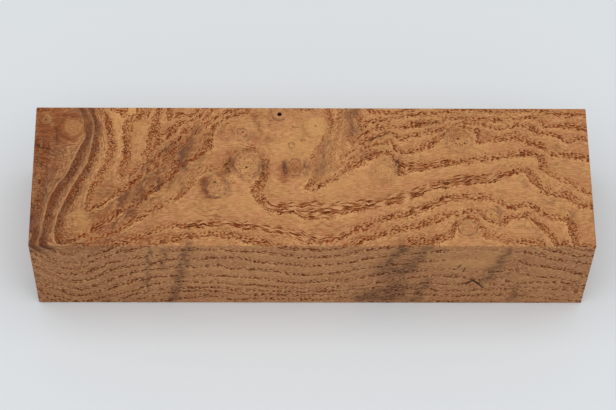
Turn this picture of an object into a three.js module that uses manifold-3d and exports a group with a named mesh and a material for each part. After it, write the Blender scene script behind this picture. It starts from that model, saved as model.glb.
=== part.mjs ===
// Burl wood blank: one squared block of wood with a pin knot hole in its top and a drying check in its front.
// Millimetres, +Z up, +X along the length, origin in the middle of the underside.
import * as THREE from 'three';
import { RoundedBoxGeometry } from 'three/addons/geometries/RoundedBoxGeometry.js';
import { ConvexGeometry } from 'three/addons/geometries/ConvexGeometry.js';
import { mergeVertices } from 'three/addons/utils/BufferGeometryUtils.js';
import Module from 'manifold-3d';

// Block
const LENGTH = 140;
const WIDTH = 40;
const HEIGHT = 31;
const ARRIS_RADIUS = 0.3;
const ARRIS_STEPS = 2;

// Pin knot hole: a narrow pit that closes to a point
const HOLE_X = -8.2;
const HOLE_Y = 18.1;
const HOLE_MOUTH_RADIUS = 0.62;
const HOLE_WAIST_RADIUS = 0.5;
const HOLE_WAIST_DEPTH = 0.6;
const HOLE_DEPTH = 3.5;
const HOLE_SIDES = 16;

// Drying check: a bent crack in the front face, open at the surface and closed at its root
const CHECK_DEPTH = 1.6;
const CHECK_STATIONS = [
  { x: 37.6, z: 10.4, width: 0.1 },
  { x: 38.5, z: 11.1, width: 0.34 },
  { x: 39.7, z: 11.6, width: 0.4 },
  { x: 40.9, z: 12.8, width: 0.46 },
  { x: 42.2, z: 11.2, width: 0.4 },
  { x: 43.7, z: 8.8, width: 0.1 },
];

// How far a cutter stands proud of the face that it cuts
const OVERCUT = 0.5;

const wasm = await Module();
wasm.setup();

function toSolid(geometry) {
  const bare = geometry.clone();
  bare.deleteAttribute('normal');
  bare.deleteAttribute('uv');
  const merged = mergeVertices(bare, 1e-5);
  const mesh = new wasm.Mesh({
    numProp: 3,
    vertProperties: new Float32Array(merged.attributes.position.array),
    triVerts: new Uint32Array(merged.index.array),
  });
  return new wasm.Manifold(mesh);
}

function toGeometry(solid) {
  const mesh = solid.getMesh();
  const geometry = new THREE.BufferGeometry();
  geometry.setAttribute('position', new THREE.BufferAttribute(new Float32Array(mesh.vertProperties), 3));
  geometry.setIndex(new THREE.BufferAttribute(new Uint32Array(mesh.triVerts), 1));
  geometry.computeVertexNormals();
  return geometry;
}

function block() {
  const geometry = new RoundedBoxGeometry(LENGTH, WIDTH, HEIGHT, ARRIS_STEPS, ARRIS_RADIUS);
  geometry.translate(0, 0, HEIGHT / 2);
  return toSolid(geometry);
}

function pinHole() {
  const profile = [
    new THREE.Vector2(0, -HOLE_DEPTH),
    new THREE.Vector2(HOLE_WAIST_RADIUS, -HOLE_WAIST_DEPTH),
    new THREE.Vector2(HOLE_MOUTH_RADIUS, 0),
    new THREE.Vector2(HOLE_MOUTH_RADIUS, OVERCUT),
    new THREE.Vector2(0, OVERCUT),
  ];
  const geometry = new THREE.LatheGeometry(profile, HOLE_SIDES);
  geometry.rotateX(Math.PI / 2);
  geometry.translate(HOLE_X, HOLE_Y, HEIGHT);
  return toSolid(geometry);
}

// The two lips of the check and its root at one station, square to the run of the crack.
function checkSection(index) {
  const here = CHECK_STATIONS[index];
  const before = CHECK_STATIONS[Math.max(index - 1, 0)];
  const after = CHECK_STATIONS[Math.min(index + 1, CHECK_STATIONS.length - 1)];
  const run = new THREE.Vector2(after.x - before.x, after.z - before.z).normalize();
  const side = new THREE.Vector2(-run.y, run.x).multiplyScalar(here.width / 2);
  const front = -WIDTH / 2;
  const lips = [];
  for (const y of [front - OVERCUT, front]) {
    lips.push(new THREE.Vector3(here.x + side.x, y, here.z + side.y));
    lips.push(new THREE.Vector3(here.x - side.x, y, here.z - side.y));
  }
  const root = new THREE.Vector3(here.x, front + CHECK_DEPTH, here.z);
  return [...lips, root];
}

function dryingCheck() {
  let crack = null;
  for (let i = 0; i + 1 < CHECK_STATIONS.length; i += 1) {
    const length = toSolid(new ConvexGeometry([...checkSection(i), ...checkSection(i + 1)]));
    crack = crack ? crack.add(length) : length;
  }
  return crack;
}

const wood = new THREE.MeshStandardMaterial({ color: 0xa67149, roughness: 0.5, metalness: 0 });
wood.name = 'burl_wood';

const blank = block().subtract(pinHole()).subtract(dryingCheck());
const mesh = new THREE.Mesh(toGeometry(blank), wood);
mesh.name = 'burl_blank';

const part = new THREE.Group();
part.name = 'stabilized_burl_blank';
part.add(mesh);

export default part;
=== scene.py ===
# Burl wood blank: one sawn and sanded block, with its growth layers followed through the wood.
# Metres in the scene; the growth layers are worked out in millimetres.
import math
from types import SimpleNamespace
import bpy
import bmesh
import numpy as np
from mathutils import Matrix, Vector


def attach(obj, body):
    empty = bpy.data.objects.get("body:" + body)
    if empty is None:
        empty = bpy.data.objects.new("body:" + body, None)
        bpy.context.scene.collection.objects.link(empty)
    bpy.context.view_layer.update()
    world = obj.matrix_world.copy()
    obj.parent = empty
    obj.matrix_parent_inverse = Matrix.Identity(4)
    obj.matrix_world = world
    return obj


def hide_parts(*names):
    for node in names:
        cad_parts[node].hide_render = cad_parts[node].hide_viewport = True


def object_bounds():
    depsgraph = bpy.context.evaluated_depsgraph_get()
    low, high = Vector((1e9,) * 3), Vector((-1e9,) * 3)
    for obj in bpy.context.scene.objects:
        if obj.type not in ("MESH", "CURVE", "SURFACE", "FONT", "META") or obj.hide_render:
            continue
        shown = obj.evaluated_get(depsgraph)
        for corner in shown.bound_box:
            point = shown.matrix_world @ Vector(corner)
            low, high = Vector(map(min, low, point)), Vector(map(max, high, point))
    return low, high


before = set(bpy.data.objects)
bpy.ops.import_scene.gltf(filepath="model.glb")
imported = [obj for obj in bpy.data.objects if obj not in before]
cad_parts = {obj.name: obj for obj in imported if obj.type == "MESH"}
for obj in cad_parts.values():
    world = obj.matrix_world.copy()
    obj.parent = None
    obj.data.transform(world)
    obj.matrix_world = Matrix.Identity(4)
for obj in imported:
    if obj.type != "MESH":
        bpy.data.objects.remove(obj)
cad_low, cad_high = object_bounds()

# Block in millimetres, as large as its solid in the frame
MM = 0.001
LENGTH, WIDTH, HEIGHT = (round((high - low) / MM, 2) for low, high in zip(cad_low, cad_high))
ARRIS = 0.3
CELLS_PER_MM = 2

# Pin knot hole in the top and drying check in the front, each check station as x, z and width
HOLE_AT = (-8.2, 18.1)
HOLE_MOUTH = 0.62
HOLE_WAIST = 0.5
HOLE_WAIST_DEPTH = 0.6
HOLE_DEPTH = 3.5
HOLE_SIDES = 16
CHECK_DEPTH = 1.6
CHECK_STATIONS = [
    (37.6, 10.4, 0.10), (38.5, 11.1, 0.34), (39.7, 11.6, 0.40),
    (40.9, 12.8, 0.46), (42.2, 11.2, 0.40), (43.7, 8.8, 0.10),
]
OVERCUT = 0.5
WELD = 0.01

# Axes that run along and across each face
FACE_AXES = {"top": (0, 1), "under": (0, 1), "front": (0, 2), "back": (0, 2), "left": (1, 2), "right": (1, 2)}

# Growth lines on the top face: year count, then points (x, y) along the early edge of that year's pores
TOP_LINES = [
    (8, [(-59, 19.5), (-58, 17), (-57.2, 14), (-57, 11.5), (-58, 9), (-59.8, 4.5), (-61.5, 0),
         (-64.3, -4.5), (-65.7, -9), (-66.3, -13), (-67, -17.5), (-67.3, -20)]),
    (9, [(-57, 20), (-55.5, 17), (-54.8, 14), (-55.3, 9), (-56.3, 4), (-58.3, -0.5), (-60.3, -4.5),
         (-62, -9), (-63.2, -13), (-63.5, -17), (-62, -19.6), (-60, -19.3), (-57, -18), (-53, -15.2),
         (-49.5, -12.5), (-47, -10.5), (-43.5, -8.5), (-40.5, -6), (-37.5, -3.3), (-35, -0.8), (-33, 2),
         (-30.2, 4), (-27.5, 6), (-24.8, 8.3), (-25.2, 11), (-24, 14.5), (-21, 16.8), (-17.5, 17.6),
         (-15.8, 18.9), (-15, 20)]),
    (9, [(3.2, 20), (4.3, 17.5), (4.5, 15.2), (3.6, 12.6), (2.2, 10.5), (0.8, 7.5), (-0.2, 4), (-0.4, 0),
         (-1.2, -2.4), (-2, -4), (-0.6, -4.4), (2, -3.5), (5, -1.8), (9, 0.8), (12.5, 2.7), (15, 4.6),
         (17.5, 6), (19.3, 6), (20.6, 4.2), (20.9, 1.6), (21.6, 0), (24, 0.9), (27.5, 1.4), (30, 2.2),
         (34, 2.9), (37, 3.4), (40, 4), (44, 4.3), (48, 5), (52, 5.7), (55.6, 6), (57, 4.6), (57.2, 2.2),
         (59, 0.3), (61.5, -1.2), (65, -2.6), (67, -4.2), (70, -6)]),
    (10, [(-54.6, 20), (-52.7, 16), (-51.7, 12), (-51.5, 8), (-52.2, 4), (-53.7, 0.5), (-55.6, -4),
          (-56.3, -7.5), (-55.8, -10.3), (-52, -8.3), (-48, -5.6), (-44.5, -2.6), (-41, 0.5), (-38, 2.7),
          (-36, 5), (-33.5, 7.7), (-29.5, 11.3), (-27.3, 13.5), (-24.5, 16.2), (-21.5, 18.3),
          (-18, 19.6)]),
    (10, [(6.5, 20), (6.3, 15), (5.6, 10), (4.7, 6), (4.5, 2.4), (5.2, 1), (7.5, 3), (11.5, 6.5),
          (13, 7.8), (15.5, 8.6), (18, 9), (20, 8.3), (22, 6.6), (24.5, 6.4), (27.5, 7.3), (30, 8.2),
          (32, 10), (33.8, 12), (34.8, 13.6), (38, 14.2), (40.6, 13.4), (41.5, 11), (42.2, 9.4),
          (45.5, 9.8), (49.5, 10.4), (52, 10.1), (55.5, 9), (58.2, 8), (60, 6.2), (61.4, 5.6), (66, 5.2),
          (70, 4.2)]),
    (11, [(-46.3, 20), (-47.5, 16.5), (-47.9, 12), (-47.6, 7), (-48.1, 2.5), (-48.3, -0.2), (-47, -0.9),
          (-45.5, -0.3), (-42, 2.6), (-38, 5.8), (-35, 9), (-31.5, 12.2), (-28, 16), (-24.5, 19.2)]),
    (11, [(8.5, 20), (8.4, 15), (7.6, 10), (7.1, 6), (7.4, 4.4), (10.5, 7.3), (14.8, 10.4), (17.5, 11.8),
          (19.8, 12.6), (20.9, 11.3), (22.5, 10.3), (25, 11), (30, 12.3), (34, 13.9), (36.5, 14.9),
          (40, 15.1), (43, 14.9), (46.5, 13.5), (48.5, 13.4), (53, 14.6), (55.5, 13.2), (57, 12.1),
          (60.5, 11.6), (63, 10.3), (65, 9.4), (67.5, 10.4), (70, 10.2)]),
    (12, [(-39.3, 20), (-40.5, 15), (-41.5, 11), (-41.8, 7.5), (-41.2, 5.5), (-39.5, 7.5), (-38.3, 9.6),
          (-36, 11), (-34.5, 13.2), (-32.5, 15.2), (-30, 15.9), (-27.7, 18.2), (-26.3, 20)]),
    (12, [(9.9, 20), (9.6, 15), (9.3, 10.6), (9.8, 9.2), (12, 11), (15.3, 13), (18.5, 13.9), (23, 13.7),
          (28, 14.6), (33, 15.6), (36, 16.6), (40, 16.5), (44, 16.5), (47, 15.9), (51, 16.2), (55, 16.9),
          (57.4, 16.6), (58.8, 14.4), (63, 14.2), (67, 13.7), (70, 13)]),
    (13, [(-37, 20), (-37.3, 17.6), (-35.5, 16.2), (-33, 17.3), (-30, 17.6), (-28.6, 19)]),
    (13, [(11.4, 20), (11.5, 15), (12.2, 13.4), (14.5, 14.9), (18, 15.9), (23, 16.9), (28, 17.7),
          (32, 17.8), (37, 18.6), (42, 19.2), (47, 18.2), (50, 18.9), (56, 18.9), (60, 18.5), (63, 17.4),
          (67, 17.6), (70, 17.4)]),
    (14, [(16, 18), (21, 18.2), (26, 19.4), (29, 20)]),
    (8, [(-56.3, -20), (-52.5, -18.3), (-47, -15.8), (-43, -13.2), (-40, -11.3), (-36, -8.5), (-33, -6.5),
         (-30.5, -4), (-29.2, -1.8), (-28.2, 0), (-26, 1), (-24, 1.2), (-22, 0.3), (-20.7, -1.4),
         (-20.8, 1), (-20.2, 4), (-18.6, 6.4), (-16.4, 7), (-14.2, 6.4), (-12.8, 4.4), (-12.4, 2),
         (-13.2, -0.4), (-14.5, -2.4), (-15.7, -4.2), (-14.6, -6.4), (-12.2, -9.2), (-9.5, -10.7),
         (-5, -11), (-1.5, -12.3), (3, -12.2), (7, -11.2), (11.5, -10), (16, -9.2), (21, -8), (25, -6.6),
         (30, -4.3), (35, -3.3), (40, -2.3), (45, -2), (48.5, -0.5), (51, 0.6), (53.6, 0.5), (54.4, -1.2),
         (56, -3.2), (58.3, -5.1), (61, -6), (63.5, -6.6), (66, -9), (70, -9.6)]),
    (7, [(-47.5, -20), (-44, -18.9), (-40, -17.2), (-36, -15.5), (-31, -15), (-26, -14.8), (-21, -14.6),
         (-16, -15.6), (-11, -16.2), (-6, -17.4), (-2, -18.9), (2, -19.4), (6, -18.6), (9.5, -16.6),
         (13, -15.2), (16, -13.8), (20, -12.6), (25, -11.4), (30, -9.2), (34, -7.6), (39, -7.2),
         (44, -7.2), (47.5, -8.6), (50.5, -9.5), (53.5, -9), (55.5, -9.9), (58, -12), (60.8, -12.6),
         (62.4, -13.2), (63.4, -15.6), (64.6, -20)]),
    (6, [(-39, -20), (-34, -19), (-30, -18), (-24, -17.3), (-20, -18), (-16, -19.2), (-11.5, -20)]),
    (6, [(10, -20), (14, -18.6), (18, -17.2), (22, -16), (26, -14.9), (30, -13.7), (33, -12.2),
         (37, -11.2), (40.6, -10.4), (42.6, -12.4), (44.6, -13.4), (47, -14.3), (49, -13), (51.5, -12.2),
         (54, -12.4), (56, -14.6), (58, -16.8), (59.8, -20)]),
    (5, [(26, -20), (29, -19.3), (33, -18.4), (35, -17.4), (36, -14.6), (38.6, -12.2), (41.2, -14.4),
         (42, -17.2), (45, -18.2), (48, -19.3), (52, -19.4), (55.5, -20)]),
]
# Growth lines on the front face, as (x, z)
FRONT_LINES = [
    (8, [(-67.2, 31), (-65.3, 28.8), (-62.8, 26.5), (-61, 25.6), (-59.3, 25.8), (-57.5, 27.7),
         (-56, 31)]),
    (7, [(-69.8, 30.6), (-67.5, 27.5), (-65.5, 24.7), (-63, 22.3), (-60.5, 21.4), (-58, 21.9),
         (-55.5, 24.4), (-52.5, 26.7), (-50, 28.7), (-47.6, 31)]),
    (6, [(-70, 28), (-67.3, 24.2), (-64.5, 20.7), (-62, 18.7), (-60, 18.4), (-58, 18.7), (-55.5, 21.2),
         (-52, 24), (-48.5, 26.6), (-44, 28.5), (-41.5, 29.5), (-39.2, 31)]),
    (5, [(-70, 22.8), (-67, 19.5), (-63.3, 16.2), (-61, 14.9), (-58.5, 15.3), (-55, 17.2), (-52, 20),
         (-48.5, 22.2), (-45, 23.7), (-41.5, 25), (-38, 25.9), (-34, 28), (-28.5, 28.5), (-24, 28.5),
         (-19, 28), (-13, 27), (-8, 26), (-4.5, 25), (-2, 24.2), (1.5, 24.6), (5, 25.2), (9, 26.3),
         (12.5, 27.9), (16, 28.9), (20, 30), (24.5, 31)]),
    (4, [(-70, 20.5), (-67.5, 17.2), (-64.5, 14), (-62, 11.9), (-59.8, 11.3), (-57, 12), (-54, 14.3),
         (-50.5, 17.2), (-46.5, 19.5), (-42, 20.7), (-38.5, 21.6), (-34.5, 23.2), (-29, 23.7),
         (-23, 24.1), (-18, 23.8), (-14, 22), (-9, 21.5), (-5, 20.4), (-2, 19.9), (2, 20.1), (7, 21.2),
         (10.5, 22.4), (15, 24.3), (20, 25.4), (25, 26.5), (30, 27.3), (35, 28.5), (42, 28.9), (47, 27.8),
         (52, 27.4), (56.5, 25.9), (60.3, 23.8), (65, 22.3), (70, 21)]),
    (3, [(-70, 14.8), (-67, 12), (-64, 9.7), (-61.3, 8), (-58.5, 7), (-56, 8.2), (-53, 10.3), (-49, 13.6),
         (-45.5, 15.8), (-42, 17.3), (-37.5, 18.3), (-33, 19.4), (-28, 19.2), (-24.5, 20), (-20, 18.8),
         (-15, 18), (-10, 17.2), (-5.5, 15.7), (-2, 15.1), (3, 15.7), (8, 16.6), (11, 18.3), (15, 19.4),
         (20, 20.7), (26, 21.9), (32, 22.8), (37, 24.3), (42, 23.6), (46.5, 22.3), (51, 22.8), (54, 21),
         (58, 19.7), (63, 18.4), (66.3, 16.4), (70, 14.4)]),
    (2, [(-70, 11.3), (-66.5, 8.3), (-63.5, 6), (-61, 4.2), (-58.7, 3.4), (-55, 5.4), (-51, 7.6),
         (-47, 10.4), (-43, 12.4), (-38, 14.3), (-32.5, 14.5), (-27, 15), (-21.5, 14.5), (-16, 13.4),
         (-11, 12.7), (-6, 11.1), (-2, 10.7), (2.5, 11.7), (8, 12.3), (12.5, 13.6), (17, 15.4),
         (23, 17.2), (29, 17.8), (35, 18.4), (40, 17.2), (46, 17), (50, 18.4), (54.5, 14.8), (59, 14),
         (64, 13), (70, 9.4)]),
    (1, [(-68, 5), (-63, 2), (-58.5, 0.4), (-54, 2.6), (-49, 4.4), (-44, 7), (-40, 10), (-36, 11),
         (-30, 11.3), (-24, 10.9), (-18, 9.9), (-13, 9.2), (-8, 8.3), (-3, 7.7), (2, 8), (7, 8.8),
         (13, 9.6), (18, 11.4), (24, 13), (30, 14.6), (36, 14.4), (42.5, 13), (47, 13.8), (51, 11),
         (56, 11), (62, 11.2), (67, 9.8), (70, 7.4)]),
    (0, [(-50, 1), (-45, 4.2), (-40, 6.4), (-35, 8), (-30, 8.1), (-24, 8), (-18, 6.7), (-12, 6.4),
         (-6, 6), (0, 6), (6, 6.5), (13, 7.6), (19, 8.8), (24, 9.6), (30, 11), (36, 10.2), (44, 10.6),
         (48, 9.6), (54, 8.9), (60, 8), (65, 7), (70, 5)]),
    (-1, [(-44, 1.6), (-38, 5), (-32, 6.2), (-27, 6.5), (-22, 5.5), (-16, 4.2), (-10, 4.4), (-4, 3.8),
          (3, 4), (9, 5.1), (16, 5.5), (22, 7), (28, 8), (34, 6.6), (42, 7), (50, 7.2), (57, 6),
          (61, 4.6), (66, 3.8), (70, 2.6)]),
    (-2, [(-36, 1), (-30, 3), (-25, 3.2), (-20, 1.4), (-15, 1.8), (-9, 1.9), (-3, 1.5), (3, 1.4),
          (9, 2.6), (16, 3), (24, 4.4), (31, 4.4), (38, 3.6), (46, 4.2), (53, 3.8), (60, 2.4),
          (66, 1.4)]),
    (6, [(-11.4, 31), (-8.5, 30), (-4.5, 28.9), (-1, 28.6), (3, 28.3), (6, 29.2), (9.8, 31)]),
    (5, [(55.6, 31), (57.3, 29.2), (59.3, 28.3), (61.5, 26.9), (65, 25.8), (70, 25)]),
    (6, [(60, 31), (63.5, 30.5), (66.3, 29), (70, 28)]),
    (7, [(64.8, 31), (67.5, 30.6), (70, 30)]),
]
# Year counts in the wood between the lines on the top, as x, y, years
TOP_SPOTS = [
    (-69, 18, 7.6), (-65, 19, 7.7), (-63, 12, 7.6), (-66, 10.5, 7.4), (-69, 10.5, 7.3), (-60.5, 14, 7.7),
    (-67.5, 16, 7.6), (-64, 5, 7.55), (-66.5, 5, 7.25), (-62, 8, 7.75), (-67.5, -8, 7.4), (-68, -17, 7.3),
    (-24, -3, 7.75), (-24, -7, 7.74), (-21, -9, 7.7), (-26, -10, 7.66), (-18, -4, 7.92),
    (-17, -7.5, 7.75), (-14, -12, 7.55), (-16.5, 3, 7.7), (-4.4, 2.3, 8.4), (-10, 4, 8.65),
    (-10.6, -0.5, 8.6), (-9, -3, 8.68), (-10.5, -5.6, 8.45), (-6, 6, 8.7), (-5, 10, 8.75), (-1, 14, 8.65),
    (-7, 16, 8.8), (-10.8, 17, 8.88), (-10, 14, 8.88), (-12, 10, 8.75), (-13.6, 15, 8.86), (-20, 12, 8.6),
    (-18, 8.8, 8.65), (-22, 6.5, 8.6), (-27, 3.4, 8.55), (1, 16, 8.7), (-3, 18.5, 8.8), (-7, 19.5, 8.85),
    (12.5, -0.5, 8.72), (16, -2, 8.66), (18, 2, 8.62), (19.5, -2.5, 8.7), (23, -2, 8.75), (2, 3, 9.4),
    (3, 8, 9.55), (37.5, 10.5, 9.75), (38, 7.5, 9.6), (44, 11.8, 10.3), (38.4, -15, 4.7),
    (40, -18.6, 4.75), (47, -16.5, 5.45), (53, -15, 5.7), (53, -17.5, 5.4), (8, -6, 8.5), (12, -5, 8.6),
    (4, -6.6, 8.5), (0, -6.8, 8.5), (-6, -6.6, 8.5), (18, -4.6, 8.6), (8, -3.4, 8.75), (-69.4, 8, 7.2),
    (-69.6, 4, 7.14), (-69.6, -1, 7.14), (-69.6, -6, 7.14), (-69.6, -11, 7.14), (-69.6, -15.5, 7.14),
    (66.5, -16, 7.5), (67.2, -19, 7.55), (68.5, -13, 7.8), (69.3, -17, 7.75),
]
# Buds seen end-on: face, place on it, radius, how much older the heart is, light disc, grey rim, specks
BUDS = [
    ("top", -67.5, 16.2, 1.8, 0.3, 0.3, 0.3, 0),
    ("top", -60.5, 14, 3.3, 0.5, 0.6, 0, 0.5),
    ("top", -24.3, -2.5, 3, 0.6, 0.3, 0.6, 0.4),
    ("top", -16.5, 3, 3.8, 0.6, 0.7, 0.5, 0.8),
    ("top", -4.4, 2.3, 2.5, 0.7, 0.1, 0.6, 0),
    ("top", -5.1, 8.8, 0.9, 0.2, 0.1, 0.45, 0),
    ("top", -2.2, 10.3, 0.5, 0.1, 0.1, 0.6, 0),
    ("top", 1, 14.5, 3.4, 0.4, 0.9, 0, 0),
    ("top", -8.2, 18.2, 2.2, 0.5, 0.2, 0.6, 0),
    ("top", -18, 12, 1.6, 0.4, 0.1, 0.8, 0),
    ("top", -22, 12.5, 2, 0.3, 0.1, 0.4, 0),
    ("top", -12, 15.6, 1.4, 0.2, 0.5, 0.2, 0),
    ("top", 18, 1.6, 3, 0.5, 0.7, 0.4, 0),
    ("top", 37.5, 10.5, 3.6, 0.5, 0.4, 0.4, 0.9),
    ("top", 43.6, 11.8, 1.7, 0.3, 0.3, 0.3, 0.3),
    ("top", 48.5, 18.8, 1.3, 0.2, 0.3, 0.2, 0),
    ("top", 38.4, -14.7, 2.3, 0.4, 0.3, 0.7, 0.2),
    ("top", 44.4, -11, 1.8, 0.3, 0.4, 0.6, 0),
    ("top", 53.3, -14, 1.2, 0.2, 0.8, 0, 0),
    ("top", 61.5, -8.2, 1.2, 0.2, 0.6, 0.2, 0),
    ("top", 63.3, -11, 1.1, 0.2, 0.6, 0.2, 0),
    ("top", 53.3, 3.1, 1, 0.1, 0.4, 0, 0),
    ("top", 52.4, -0.8, 0.9, 0.2, 0.4, 0.1, 0),
    ("top", 55.6, -6.2, 1, 0.1, 0.4, 0.1, 0),
    ("back", -44, 12, 3.2, 0.6, 0.6, 0.5, 0.6),
    ("back", -38.5, 18, 1.6, 0.4, 0.3, 0.6, 0),
    ("back", -4, 8, 2.4, 0.5, 0.4, 0.6, 0.3),
    ("back", 22, 16, 3.6, 0.6, 0.7, 0.4, 0.7),
    ("back", 28, 10, 1.4, 0.3, 0.4, 0.5, 0),
    ("back", 55, 13, 2.0, 0.5, 0.4, 0.6, 0.4),
    ("under", -52, 6, 3.0, 0.6, 0.6, 0.5, 0.6),
    ("under", -46, 10, 1.5, 0.4, 0.3, 0.6, 0),
    ("under", -12, -3, 2.6, 0.5, 0.4, 0.6, 0.4),
    ("under", 9, 11, 3.4, 0.6, 0.7, 0.4, 0.7),
    ("under", 15, 7, 1.3, 0.3, 0.4, 0.5, 0),
    ("under", 41, -6, 2.2, 0.5, 0.4, 0.6, 0.4),
    ("under", 58, 9, 1.8, 0.4, 0.5, 0.5, 0),
    ("left", 6, 12, 2.6, 0.5, 0.5, 0.5, 0.4),
    ("right", 8, 10, 2.2, 0.5, 0.4, 0.6, 0.4),
]
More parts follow.
